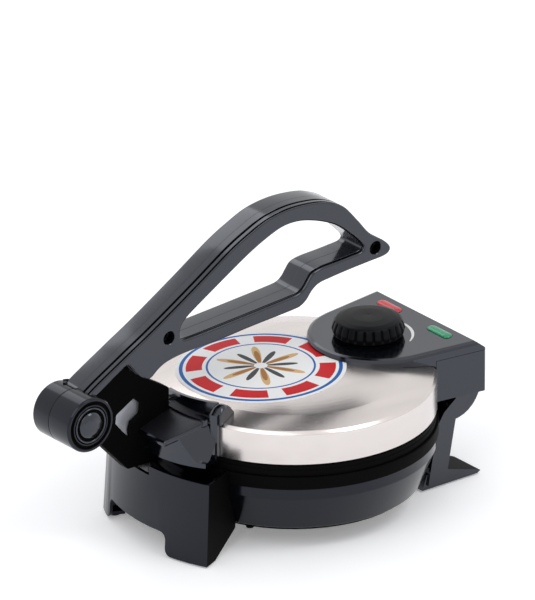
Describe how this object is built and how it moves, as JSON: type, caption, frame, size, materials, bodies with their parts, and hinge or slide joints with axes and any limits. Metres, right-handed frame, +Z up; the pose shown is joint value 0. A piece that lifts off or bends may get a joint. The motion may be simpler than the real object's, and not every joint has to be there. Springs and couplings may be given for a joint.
{
  "type": "electric roti maker",
  "caption": "Round electric flatbread press with two heated plates, rear-hinged steel lid, folding lever handle, leg frame and thermostat knob.",
  "frame": {"origin": "on the table, under the centre of the whole object's length and width with the lid shut and the handle folded", "axes": "+Z up; +X from the lever end to the hinge and control end, the long way; +Y to the far side, so that the near side of the picture is -Y"},
  "size_m": [0.3948, 0.2326, 0.2622],
  "materials": {
    "black_gloss": "glossy black moulded plastic",
    "black_matt": "matt black heat-resistant plastic",
    "lid_steel": "satin stainless steel sheet",
    "coated_plate": "dark non-stick coating on cast aluminium",
    "heater_sheath": "oxidised sheath",
    "shield_steel": "bright steel sheet",
    "zinc": "zinc-plated steel",
    "rubber": "black rubber",
    "red_lens": "translucent red lens",
    "green_lens": "translucent green lens",
    "lamp_holder": "pale moulded holder",
    "thermostat_body": "plated metal"
  },
  "bodies": {
    "base": {"base_shell": "black_gloss", "bottom_cover": "black_matt", "bottom_screw_1": "zinc", "bottom_screw_2": "zinc", "bottom_screw_3": "zinc", "rim_ring": "black_matt", "lower_plate": "coated_plate", "lower_heater": "heater_sheath", "lower_heat_shield": "shield_steel", "lower_plate_stud_1": "zinc", "lower_plate_stud_2": "zinc", "lower_plate_stud_3": "zinc", "front_leg_frame": "black_gloss", "rear_bracket_near": "black_gloss", "rear_bracket_far": "black_gloss", "hinge_pin_near": "zinc", "hinge_pin_far": "zinc", "foot_pad_front_near": "rubber", "foot_pad_front_far": "rubber", "foot_pad_rear_near": "rubber", "foot_pad_rear_far": "rubber"},
    "lid": {"lid_cover": "lid_steel", "lid_inner_ring": "black_matt", "upper_plate": "coated_plate", "upper_heater": "heater_sheath", "upper_heat_shield": "shield_steel", "upper_plate_stud_1": "zinc", "upper_plate_stud_2": "zinc", "upper_plate_stud_3": "zinc", "front_bracket": "black_gloss", "lever_arm": "black_gloss", "arm_screw_inner": "zinc", "arm_screw_outer": "zinc", "control_hood": "black_gloss", "hinge_arm_near": "black_matt", "hinge_arm_far": "black_matt", "hood_screw_near": "zinc", "hood_screw_far": "zinc", "control_panel": "black_gloss", "thermostat": "thermostat_body", "red_lamp_lens": "red_lens", "green_lamp_lens": "green_lens", "red_lamp_holder": "lamp_holder", "green_lamp_holder": "lamp_holder", "cord_gland": "rubber", "pivot_pin": "zinc", "pivot_cap_far": "black_gloss"},
    "handle": {"handle_near_half": "black_gloss", "handle_far_half": "black_gloss", "handle_screw_front": "zinc", "handle_screw_tip": "zinc", "pivot_cap_near": "black_gloss"},
    "knob": {"thermostat_knob": "black_matt", "thermostat_shaft": "zinc"}
  },
  "joints": [
    {"name": "lid_hinge", "type": "hinge", "parent": "base", "child": "lid", "pos_m": [0.1659, 0, 0.0843], "axis": [0, 1, 0], "range_deg": [0, 100]},
    {"name": "handle_pivot", "type": "hinge", "parent": "lid", "child": "handle", "pos_m": [-0.1744, 0, 0.1342], "axis": [0, -1, 0], "range_deg": [0, 150]},
    {"name": "knob_turn", "type": "hinge", "parent": "lid", "child": "knob", "pos_m": [0.1256, 0, 0.1217], "axis": [0, 0, -1], "range_deg": [0, 280]}
  ]
}
